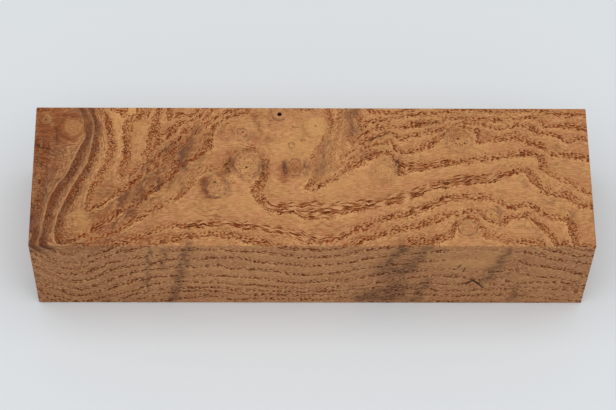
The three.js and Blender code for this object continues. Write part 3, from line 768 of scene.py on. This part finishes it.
class Wire:
    """A shader socket that adds, multiplies and mixes like a number."""
    tree = None

    def __init__(self, socket):
        self.socket = socket

    @staticmethod
    def node(kind, values=None, out=0, **settings):
        made = Wire.tree.nodes.new(kind)
        for name, value in settings.items():
            setattr(made, name, value)
        for key, value in (values or {}).items():
            if isinstance(value, Wire):
                Wire.tree.links.new(value.socket, made.inputs[key])
            else:
                made.inputs[key].default_value = value
        return Wire(made.outputs[out])

    @staticmethod
    def maths(operation, *values):
        return Wire.node("ShaderNodeMath", dict(enumerate(values)), operation=operation)

    def __add__(self, other):
        return Wire.maths("ADD", self, other)

    def __radd__(self, other):
        return Wire.maths("ADD", other, self)

    def __sub__(self, other):
        return Wire.maths("SUBTRACT", self, other)

    def __rsub__(self, other):
        return Wire.maths("SUBTRACT", other, self)

    def __mul__(self, other):
        return Wire.maths("MULTIPLY", self, other)

    def __rmul__(self, other):
        return Wire.maths("MULTIPLY", other, self)

    def __truediv__(self, other):
        return Wire.maths("DIVIDE", self, other)

    def __rtruediv__(self, other):
        return Wire.maths("DIVIDE", other, self)

    def __rpow__(self, other):
        return Wire.maths("POWER", other, self)

    def __abs__(self):
        return Wire.maths("ABSOLUTE", self)

    def fraction(self):
        return Wire.maths("FRACT", self)

    def sine(self):
        return Wire.maths("SINE", self)

    def least(self, other):
        return Wire.maths("MINIMUM", self, other)

    def rise(self, low, high):
        """Nothing below low, one above high, smooth between."""
        return Wire.node("ShaderNodeMapRange", {"Value": self, "From Min": low, "From Max": high},
                         interpolation_type="SMOOTHSTEP")

    def parts(self):
        made = Wire.node("ShaderNodeSeparateXYZ", {0: self}).socket.node
        return [Wire(socket) for socket in made.outputs]

    def blend(self, first, second):
        """First colour where this is nothing, second where it is one."""
        return Wire.node("ShaderNodeMix", {0: self, 6: first, 7: second}, out=2, data_type="RGBA",
                         clamp_factor=True)

    def feed(self, shader, name):
        Wire.tree.links.new(self.socket, shader.inputs[name])


def vector(x, y, z):
    return Wire.node("ShaderNodeCombineXYZ", {0: x, 1: y, 2: z})


def vector_maths(operation, values, out="Vector"):
    return Wire.node("ShaderNodeVectorMath", values, out=out, operation=operation)


def noise(place, scale, detail=2.0, rough=0.5, out=0):
    values = {"Vector": place, "Scale": scale, "Detail": detail, "Roughness": rough}
    return Wire.node("ShaderNodeTexNoise", values, out=out, noise_dimensions="3D")


def attribute(name, out="Fac"):
    return Wire.node("ShaderNodeAttribute", out=out, attribute_name=name, attribute_type="GEOMETRY")


def srgb(red, green, blue):
    """Linear colour of a screen colour given in 0 to 255."""
    parts = []
    for value in (red, green, blue):
        share = value / 255
        parts.append(share / 12.92 if share <= 0.04045 else ((share + 0.055) / 1.055) ** 2.4)
    return (*parts, 1.0)


def paint(wood, share, colour):
    """The wood with a share of a screen colour over it."""
    return share.blend(wood, srgb(*colour))


# Figure of the wood, in features to the millimetre
DRIFT_SCALE = 0.45
JAG_SCALE = 2.2
PATCH_SCALE = 0.16
BREAK_SCALE = 1.0
TONE_SCALE = 0.3
CLOUD_SCALE = 0.11
SPECK_SCALE = 3.2
# The same along and across the growth layers, or along the three axes
FIBRE_SCALE = (0.6, 2.4)
FLECK_SCALE = (1.2, 3.6)
STRAIGHT_SCALE = (0.65, 4.2, 4.2)
BAR_SCALE = (0.42, 0.1, 0.1)
# Slant and sway of the straight flecks, and slant of the brown bars
STRAIGHT_SLANT = 0.15
STRAIGHT_SWAY = 2.0
BAR_SLANT = 0.14
# Waves of colour: how many a year has, where they start and how far they sway, in radians
WAVES_IN_YEAR = 5
WAVE_START = 1.6
WAVE_SWAY = 5.0
# How far from the front and back the figure of these sides begins and is whole, in millimetres
SIDE_FROM = 0.4
SIDE_WHOLE = 0.15
# How far before the traced line a year begins, and how far its edge wanders and frays, in millimetres,
# with what deep stains take off both
EDGE_LEAD = 0.15
EDGE_WANDER = 1.6
EDGE_FRAY = 2.0
CALM_WANDER = 1.1
CALM_FRAY = 1.6
# Pores: rows to the millimetre across the layers, fewer on the sides, and how far the rows weave
PORE_ROWS = 2.9
FEWER_SIDE_ROWS = 0.9
ROW_WEAVE = 2.6
ROW_JAG = 0.7
# Pores to the millimetre along the rows, where the long ones start, and pores cut end-on
SHORT_PORES = 1.0
LONG_PORES = 0.36
LONG_PORE_START = 0.5
ROUND_PORES = 3.2
# Band of pores after each edge, in millimetres, with what long and end-on pores, sides and smoke change
PORE_BAND = 1.8
LONG_BAND = 1.9
END_ON_BAND = 0.8
SIDE_BAND = -0.4
SMOKE_BAND = -0.5
# Radius of a pore in its own spacing, how far pores differ in size, and how far they are scattered
PORE_RADIUS = 0.44
ROUND_PORE_GROWTH = 1.38
LEAST_PORE = 0.4
PORE_SPREAD = 0.9
PORE_SCATTER = 0.85
# Buds: how far their outlines wander and fray in radii, and how fast their ripples follow, in radians
BUD_WANDER = 0.9
BUD_FRAY = 0.3
BUD_RIPPLES = 9.0
# Rings and streaks: how far they wander, and half the core and the whole of a ring's line, in millimetres
BEND = 2.2
RING_CORE = 0.06
RING_LINE = 0.32
# Deep stains: the shade after an edge and the pale thread before it, from full to nothing in millimetres
SHADE_REACH = (0.3, 3.4)
THREAD_REACH = (0.2, 0.8)

# Colours of the wood, as a screen shows them
LATE_WOOD = (191, 134, 88)
EARLY_WOOD = (176, 116, 71)
LAST_WOOD = (210, 154, 100)
END_GRAIN = (166, 108, 66)
GOLDEN_CLOUD = (196, 142, 88)
DULL_CLOUD = (170, 112, 70)
ROSY_TONE = (186, 122, 86)
STRAW_TONE = (182, 136, 84)
BROWN_STAIN = (130, 78, 44)
BROWN_BAR = (104, 60, 38)
DARK_FIBRE = (132, 80, 46)
LIGHT_FIBRE = (214, 164, 116)
STAINED_FIBRE = (100, 58, 38)
DARK_FLECK = (128, 76, 42)
LIGHT_FLECK = (224, 178, 134)
YEAR_WAVE = (138, 86, 52)
PALE_EDGE = (214, 162, 106)
DEEP_WOOD = (142, 96, 64)
DEEP_SHADE = (88, 54, 36)
DEEP_THREAD = (182, 132, 90)
GOLD_STAIN = (208, 156, 96)
RUST_STAIN = (142, 76, 42)
SMOKE_ON_TOP = (114, 76, 56)
SMOKE_ON_SIDES = (98, 61, 39)
LONG_PORE_TINT = (142, 86, 52)
BUD_DISC = (206, 154, 100)
BUD_RIPPLE = (126, 76, 46)
BUD_SPECK = (112, 68, 42)
BUD_RIM = (112, 80, 64)
BUD_RING = (98, 56, 36)
BAND_TINT = (156, 92, 48)
PALE_GAP = (216, 168, 120)
DARK_PORE = (84, 34, 10)
RED_PORE = (124, 54, 16)
SMOKED_PORE = (58, 30, 16)
INK_STAIN = (66, 36, 24)
BUD_HEART = (60, 34, 20)
# Dark streaks in the wood, also used as painted shade along the mouth of the check
DARK_STREAK_AND_CHECK_SHADE = (70, 38, 24)
# Painted shade on the sides of the hole and the check
PAINTED_CUT_SHADE = (52, 32, 20)

# Finish of the sanded wood, with the depth of an open pore in millimetres
SANDED_ROUGHNESS = 0.46
SANDED_SHEEN = 0.06
PORE_DEPTH = 0.06


def wood_places():
    """Each place in millimetres, whether it is on the front or back, and noises that vary the figure."""
    place = vector_maths("SCALE", {0: Wire.node("ShaderNodeTexCoord", out="Object"), "Scale": 1 / MM})
    x, y, z = place.parts()
    drift = noise(place, DRIFT_SCALE, 2.0, out="Color")
    sway, lift, weave = (part - 0.5 for part in drift.parts())
    pushed = vector_maths("MULTIPLY_ADD", {0: drift, 1: (BEND, BEND, 0.0), 2: place})
    return SimpleNamespace(
        place=place, x=x, y=y, z=z, sway=sway, lift=lift, weave=weave,
        bent=vector_maths("SUBTRACT", {0: pushed, 1: (BEND / 2, BEND / 2, 0.0)}),
        jag=noise(place, JAG_SCALE, 1.0) - 0.5,
        patchy=noise(place, PATCH_SCALE, 1.0),
        breaks=noise(place, BREAK_SCALE, 2.0),
        upright=abs(y).rise(WIDTH / 2 - SIDE_FROM, WIDTH / 2 - SIDE_WHOLE),
    )


def growth_layers(at, tint):
    """How far through its year each place is, and how the layers lie there."""
    steep = attribute("steep")
    calm = attribute("years") + (EDGE_LEAD + at.lift * (EDGE_WANDER - tint.deep * CALM_WANDER)) * steep
    uneven = calm + at.jag * steep * (EDGE_FRAY - tint.deep * CALM_FRAY)
    phase = uneven.fraction()
    return SimpleNamespace(
        steep=steep, calm=calm, uneven=uneven, phase=phase,
        past_edge=phase / steep,
        before_edge=(1.0 - phase) / steep,
        doublings=Wire.maths("LOGARITHM", 1.0 / steep, 2.0),
        end_on=attribute("end_on").rise(0.6, 0.85),
        folded=steep.rise(0.1, 0.24),
    )


def pores(place, dimensions, thickness):
    """How far inside a pore each place is, with one pore to each unit of space, no two of one size."""
    values = {"Vector": place, "Scale": 1.0, "Randomness": PORE_SCATTER}
    gap = Wire.node("ShaderNodeTexVoronoi", values, out="Distance", feature="F1",
                    voronoi_dimensions=dimensions)
    size = Wire(gap.socket.node.outputs["Color"]).parts()[0]
    return thickness * (LEAST_PORE + size * PORE_SPREAD) - gap


def pore_bands(at, tint, layer):
    """The bands of open pores: where they lie, the pores themselves and the pale wood between pores."""
    width = PORE_BAND + tint.long * LONG_BAND + layer.end_on * END_ON_BAND
    width = width + at.upright * SIDE_BAND + tint.smoke * (1.0 - at.upright) * SMOKE_BAND
    width = width * (0.6 + at.patchy * 0.8)
    zone = (1.0 - (layer.past_edge / width).rise(0.5, 1.7)) * (1.0 - layer.phase.rise(0.5, 0.85))
    crowd = zone * (0.8 + at.patchy * 0.4)
    spread = 2.0 ** Wire.maths("ROUND", layer.doublings)
    rows = PORE_ROWS - at.upright * FEWER_SIDE_ROWS
    row = layer.calm * spread * rows + at.weave * ROW_WEAVE + at.jag * ROW_JAG
    radius = crowd * (PORE_RADIUS + at.upright * 0.04 + (at.breaks - 0.5) * 0.25) * (1.0 - tint.sparse * 0.55)
    radius = radius * (layer.steep * spread).least(1.0)
    short = pores(vector(at.x * SHORT_PORES, row, 0.0), "2D", radius)
    long = pores(vector(at.x * LONG_PORES + LONG_PORE_START, row, 0.0), "2D", radius)
    scaled = vector_maths("SCALE", {0: at.place, "Scale": ROUND_PORES})
    end_on = pores(scaled, "3D", radius * ROUND_PORE_GROWTH)
    within = short + (long - short) * tint.long.rise(0.3, 0.6)
    within = within + (end_on - within) * layer.end_on
    return SimpleNamespace(
        zone=zone, crowd=crowd, mark=within.rise(0.0, 0.06), pale=crowd * (0.0 - within).rise(0.1, 0.3))


def layered(at, layer, scale, detail):
    """Noise drawn out along the growth layers, as close across them on steep layers as on flat ones."""
    along, across = scale
    whole = Wire.maths("FLOOR", layer.doublings)
    wide = layer.calm * 2.0 ** whole
    x = at.x * along
    side = (at.y - at.z) * along
    first = noise(vector(x, side, wide * across), 1.0, detail, 0.6)
    second = noise(vector(x, side, wide * (across * 2.0)), 1.0, detail, 0.6)
    return first + (second - first) * (layer.doublings - whole)


def wood_flecks(at, layer):
    """Flecks along the layers, or straight along the block where the layers lie flat."""
    along, across, down = STRAIGHT_SCALE
    slanted = at.x * along + at.y * STRAIGHT_SLANT
    swayed = at.y * across + at.sway * STRAIGHT_SWAY
    straight = noise(vector(slanted, swayed, at.z * down), 1.0, 0.0)
    return straight + (layered(at, layer, FLECK_SCALE, 0.0) - straight) * layer.folded


def clear_wood(at, layer):
    """Early wood at each edge that lightens to late wood, with clouds and tones."""
    early = 1.0 - layer.phase.rise(0.05, 0.8)
    wood = early.blend(srgb(*LATE_WOOD), srgb(*EARLY_WOOD))
    wood = paint(wood, layer.phase.rise(0.5, 0.97) * (0.4 - at.upright * 0.15), LAST_WOOD)
    wood = paint(wood, early * layer.end_on, END_GRAIN)
    cloud = noise(at.place, CLOUD_SCALE, 2.0)
    wood = paint(wood, cloud.rise(0.48, 0.7) * 0.6, GOLDEN_CLOUD)
    wood = paint(wood, (0.52 - cloud).rise(0.0, 0.22) * 0.6, DULL_CLOUD)
    tone = noise(at.place, TONE_SCALE, 1.0)
    wood = paint(wood, tone.rise(0.5, 0.7) * 0.45, ROSY_TONE)
    return paint(wood, (0.5 - tone).rise(0.0, 0.2) * 0.45, STRAW_TONE)


def brown_wood(wood, at, tint):
    """Brown stains, broken into bars except on the front and the back."""
    along, across, down = BAR_SCALE
    bars = noise(vector(at.x * along - at.y * BAR_SLANT, at.y * across, at.z * down), 1.0, 1.0)
    wood = paint(wood, tint.brown * 0.8, BROWN_STAIN)
    return paint(wood, tint.brown * bars.rise(0.44, 0.6) * (1.0 - at.upright), BROWN_BAR)


def fibred_wood(wood, at, tint, layer, fibre):
    """Fibres, flecks and the waves of colour within a year."""
    lively = 0.35 + layer.steep.rise(0.05, 0.2) * 0.5
    wood = paint(wood, (fibre - 0.46).rise(0.0, 0.22) * lively * 0.36, DARK_FIBRE)
    wood = paint(wood, (0.46 - fibre).rise(0.0, 0.2) * lively * 0.34, LIGHT_FIBRE)
    fleck = wood_flecks(at, layer)
    dark = 0.24 + layer.folded * 0.09 + at.upright * 0.06 + tint.deep * 0.3 + tint.rust * 0.4
    dark = dark + tint.brown * 0.2
    wood = paint(wood, (fleck - 0.5).rise(0.0, 0.16) * dark, DARK_FLECK)
    light = 0.2 + layer.folded * 0.07 + at.upright * 0.06 + tint.deep * 0.1 + tint.rust * 0.2
    wood = paint(wood, (0.5 - fleck).rise(0.0, 0.16) * light, LIGHT_FLECK)
    stained = (tint.brown + tint.deep * 0.7 + tint.rust * 0.8).least(1.0) * (1.0 - at.upright)
    wood = paint(wood, (fibre - 0.46).rise(0.0, 0.16) * stained * 0.6, STAINED_FIBRE)
    wave = (layer.uneven * (WAVES_IN_YEAR * 2 * math.pi) - WAVE_START + at.sway * WAVE_SWAY).sine()
    return paint(wood, wave.rise(0.1, 0.9) * at.breaks.rise(0.42, 0.6) * 0.32, YEAR_WAVE)


def stained_wood(wood, at, tint, layer, fibre):
    """Pale and dark lines at the edges of the years, then the gold, rust and smoke stains."""
    line = layer.phase.rise(0.9, 0.98) * at.patchy.rise(0.35, 0.6)
    wood = paint(wood, line * 0.6, PALE_EDGE)
    wood = paint(wood, tint.deep * 0.2, DEEP_WOOD)
    wood = paint(wood, (1.0 - layer.past_edge.rise(*SHADE_REACH)) * tint.deep * 0.66, DEEP_SHADE)
    wood = paint(wood, (1.0 - layer.before_edge.rise(*THREAD_REACH)) * tint.deep * 0.5, DEEP_THREAD)
    wood = paint(wood, tint.gold * 0.7, GOLD_STAIN)
    wood = paint(wood, tint.rust * 0.7, RUST_STAIN)
    smoke = at.upright.blend(srgb(*SMOKE_ON_TOP), srgb(*SMOKE_ON_SIDES))
    return (tint.smoke * (0.45 + (fibre - 0.38).rise(0.0, 0.22) * 0.55)).blend(wood, smoke)


def bud_ring(place, x, y, radius, towards, spread):
    """A thin line round a bud, one where it is strongest."""
    offset = vector_maths("SUBTRACT", {0: place, 1: (x, y, HEIGHT)})
    away = vector_maths("LENGTH", {0: offset}, "Value")
    turn = math.radians(towards)
    strong_side = (math.cos(turn) / radius, math.sin(turn) / radius, 0.0)
    side = vector_maths("DOT_PRODUCT", {0: offset, 1: strong_side}, "Value")
    return (1.0 - abs(away - radius).rise(RING_CORE, RING_LINE)) * (side + spread).rise(0.0, 0.8)


def budded_wood(wood, at, gap):
    """Light discs, ripples, specks and grey rims of the buds, with their thin rings."""
    disc, radius, rim = attribute("bud_look", "Vector").parts()
    core = 1.0 - gap.rise(0.5, 0.95)
    wood = paint(wood, disc * core * 0.7, BUD_DISC)
    near = 1.0 - gap.rise(1.0, 1.7)
    ripple = (gap * radius * BUD_RIPPLES).sine().rise(0.1, 0.9) * near * at.breaks.rise(0.36, 0.5)
    wood = paint(wood, ripple * 0.3, BUD_RIPPLE)
    speck = noise(at.place, SPECK_SCALE, 0.0) - 0.6
    wood = paint(wood, speck.rise(0.0, 0.05) * core * attribute("bud_specks"), BUD_SPECK)
    edge = gap.rise(0.75, 0.95) * (1.0 - gap.rise(1.0, 1.25)) * at.breaks.rise(0.35, 0.6)
    wood = paint(wood, edge * rim * 0.5, BUD_RIM)
    for x, y, ring_radius, towards, spread, strength in RINGS:
        ring = bud_ring(at.bent, x, y, ring_radius, towards, spread)
        wood = paint(wood, ring * at.breaks.rise(0.3, 0.55) * strength * 0.75, BUD_RING)
    return wood


def porous_wood(wood, at, tint, layer, band, gap):
    """The tint of the pore bands, the pale wood between the pores, and the pores, fewer inside a bud."""
    quiet = 1.0 - (1.0 - gap.rise(0.8, 1.15)) * 0.75
    stains = tint.sparse * 0.7 + tint.deep * 0.6 + tint.smoke * (0.8 - at.upright * 0.3) + tint.brown * 0.25
    clean = quiet * (1.0 - stains.least(1.0))
    wood = paint(wood, band.zone * clean * (0.66 - at.upright * 0.36), BAND_TINT)
    wood = paint(wood, band.pale * clean * (0.42 + tint.long * 0.2), PALE_GAP)
    pore = at.weave.rise(-0.1, 0.12).blend(srgb(*DARK_PORE), srgb(*RED_PORE))
    pore = paint(pore, tint.smoke * at.upright * 0.7, SMOKED_PORE)
    return (band.mark * quiet * (0.95 - layer.end_on * 0.1 - tint.sparse * 0.3)).blend(wood, pore)


def near_point(place, spot, radius):
    """One at the spot, nothing past the radius."""
    gap = vector_maths("DISTANCE", {0: place, 1: spot}, "Value")
    return 1.0 - gap.rise(radius * 0.5, radius)


def near_streak(place, face, start, end, half_width):
    """One on the line between two places on a face, nothing past its half width."""
    ends = []
    for u, v in (start, end):
        ends.append(Vector((u, v, HEIGHT)) if face == "top" else Vector((u, -WIDTH / 2, v)))
    run = ends[1] - ends[0]
    offset = vector_maths("SUBTRACT", {0: place, 1: ends[0]})
    share = vector_maths("DOT_PRODUCT", {0: offset, 1: run / run.length_squared}, "Value")
    share = Wire.node("ShaderNodeClamp", {"Value": share})
    nearest = vector_maths("SCALE", {0: run, "Scale": share})
    gap = vector_maths("DISTANCE", {0: offset, 1: nearest}, "Value")
    return 1.0 - gap.rise(half_width * 0.4, half_width)


def marked_wood(wood, at, tint):
    """Ink stains, bud hearts and thin dark streaks, some of them painted shade along the mouth of the check,
    then painted shade on the sides of the hole and the check.
    """
    wood = paint(wood, tint.ink * 0.8, INK_STAIN)
    for x, y, radius in HEARTS:
        wood = paint(wood, near_point(at.place, (x, y, HEIGHT), radius) * 0.85, BUD_HEART)
    # Dark streaks in the wood, with painted shade along the mouth of the check from the first four on the
    # front
    for face, u0, v0, u1, v1, half_width, strength in STREAKS_AND_CHECK_SHADE:
        place = at.bent if face == "top" else at.place
        streak_or_check_shade = near_streak(place, face, (u0, v0), (u1, v1), half_width)
        wood = paint(wood, streak_or_check_shade * strength * 0.9, DARK_STREAK_AND_CHECK_SHADE)
    # Painted shade on the sides of the hole and the check, wherever they lie deeper than the eased arrises
    return paint(wood, attribute("inside"), PAINTED_CUT_SHADE)


def burl_material():
    material = bpy.data.materials.new("burl_wood")
    material.use_nodes = True
    Wire.tree = material.node_tree
    shader = Wire.tree.nodes["Principled BSDF"]
    at = wood_places()
    tint = SimpleNamespace(**{name: attribute(name) for name in TINTS})
    layer = growth_layers(at, tint)
    band = pore_bands(at, tint, layer)
    fibre = layered(at, layer, FIBRE_SCALE, 1.0)
    bud_gap = attribute("bud_gap") + at.lift * BUD_WANDER + at.jag * BUD_FRAY

    wood = clear_wood(at, layer)
    wood = brown_wood(wood, at, tint)
    wood = fibred_wood(wood, at, tint, layer, fibre)
    wood = stained_wood(wood, at, tint, layer, fibre)
    wood = paint(wood, band.crowd * tint.long * 0.2, LONG_PORE_TINT)
    wood = budded_wood(wood, at, bud_gap)
    wood = porous_wood(wood, at, tint, layer, band, bud_gap)
    wood = marked_wood(wood, at, tint)
    wood.feed(shader, "Base Color")

    coarse = SANDED_ROUGHNESS + band.mark * 0.25 + (fibre - 0.5) * 0.2
    coarse.feed(shader, "Roughness")
    height = (fibre - 0.5) * 0.3 - band.mark
    bump = Wire.node("ShaderNodeBump", {"Height": height, "Strength": 0.5, "Distance": PORE_DEPTH * MM})
    bump.feed(shader, "Normal")
    shader.inputs["Specular IOR Level"].default_value = SANDED_SHEEN
    return material


def burl_blank():
    block = cut_block()
    write_growth(block.data)
    block.data.materials.clear()
    block.data.materials.append(burl_material())
    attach(block, "root")
    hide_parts("burl_blank")


# View, fitted to the block's six visible corners in the picture: angles in degrees, lengths in millimetres
PICTURE_WIDTH = 616
FOCAL_PIXELS = 2238.184
SENSOR_WIDTH = 36.0
PITCH = 60.604
YAW = 2.224
ROLL = 2.048
DISTANCE = 573.722
AIM = (-0.825, 0.0, 15.994)

# Floor and light, in metres and watts
FLOOR_HALF = 3.0
FLOOR_COLOUR = (0.745, 0.79, 0.825, 1.0)
FLOOR_ROUGHNESS = 0.9
SKY_STRENGTH = 0.45
LAMP_AT = (0.0, -0.16, 1.0)
LAMP_SIZE = (1.6, 1.2)
LAMP_POWER = 8.65
LAMP_COLOUR = (1.0, 0.99, 0.97)


def add_camera():
    pitch, yaw, roll = (math.radians(angle) for angle in (PITCH, YAW, ROLL))
    ahead = Vector((math.sin(yaw) * math.cos(pitch), math.cos(yaw) * math.cos(pitch), -math.sin(pitch)))
    right = Vector((math.cos(yaw), -math.sin(yaw), 0))
    up = right.cross(ahead)
    across = right * math.cos(roll) + up * math.sin(roll)
    upward = up * math.cos(roll) - right * math.sin(roll)
    lens = bpy.data.cameras.new("view")
    lens.sensor_fit = "HORIZONTAL"
    lens.sensor_width = SENSOR_WIDTH
    lens.lens = FOCAL_PIXELS * SENSOR_WIDTH / PICTURE_WIDTH
    camera = bpy.data.objects.new("view", lens)
    turn = Matrix((across, upward, -ahead)).transposed().to_4x4()
    camera.matrix_world = Matrix.Translation((Vector(AIM) - ahead * DISTANCE) * MM) @ turn
    bpy.context.scene.collection.objects.link(camera)
    bpy.context.scene.camera = camera


def add_floor():
    bm = bmesh.new()
    bmesh.ops.create_grid(bm, x_segments=1, y_segments=1, size=FLOOR_HALF)
    floor = bpy.data.objects.new("floor", finished_mesh(bm, "floor"))
    bpy.context.scene.collection.objects.link(floor)
    material = bpy.data.materials.new("floor_paper")
    material.use_nodes = True
    shader = material.node_tree.nodes["Principled BSDF"]
    shader.inputs["Base Color"].default_value = FLOOR_COLOUR
    shader.inputs["Roughness"].default_value = FLOOR_ROUGHNESS
    floor.data.materials.append(material)


def add_light():
    """A soft white room with one broad lamp overhead, aimed at the foot of the block."""
    scene = bpy.context.scene
    scene.view_settings.view_transform = "Standard"
    scene.world = bpy.data.worlds.new("room")
    scene.world.use_nodes = True
    sky = scene.world.node_tree.nodes["Background"]
    sky.inputs["Color"].default_value = (1.0, 1.0, 1.0, 1.0)
    sky.inputs["Strength"].default_value = SKY_STRENGTH
    panel = bpy.data.lights.new("overhead", "AREA")
    panel.shape = "RECTANGLE"
    panel.size, panel.size_y = LAMP_SIZE
    panel.energy = LAMP_POWER
    panel.color = LAMP_COLOUR
    lamp = bpy.data.objects.new("overhead", panel)
    lamp.location = LAMP_AT
    lamp.rotation_euler = (-Vector(LAMP_AT)).to_track_quat("-Z", "Y").to_euler()
    scene.collection.objects.link(lamp)


add_camera()
add_floor()
add_light()
burl_blank()
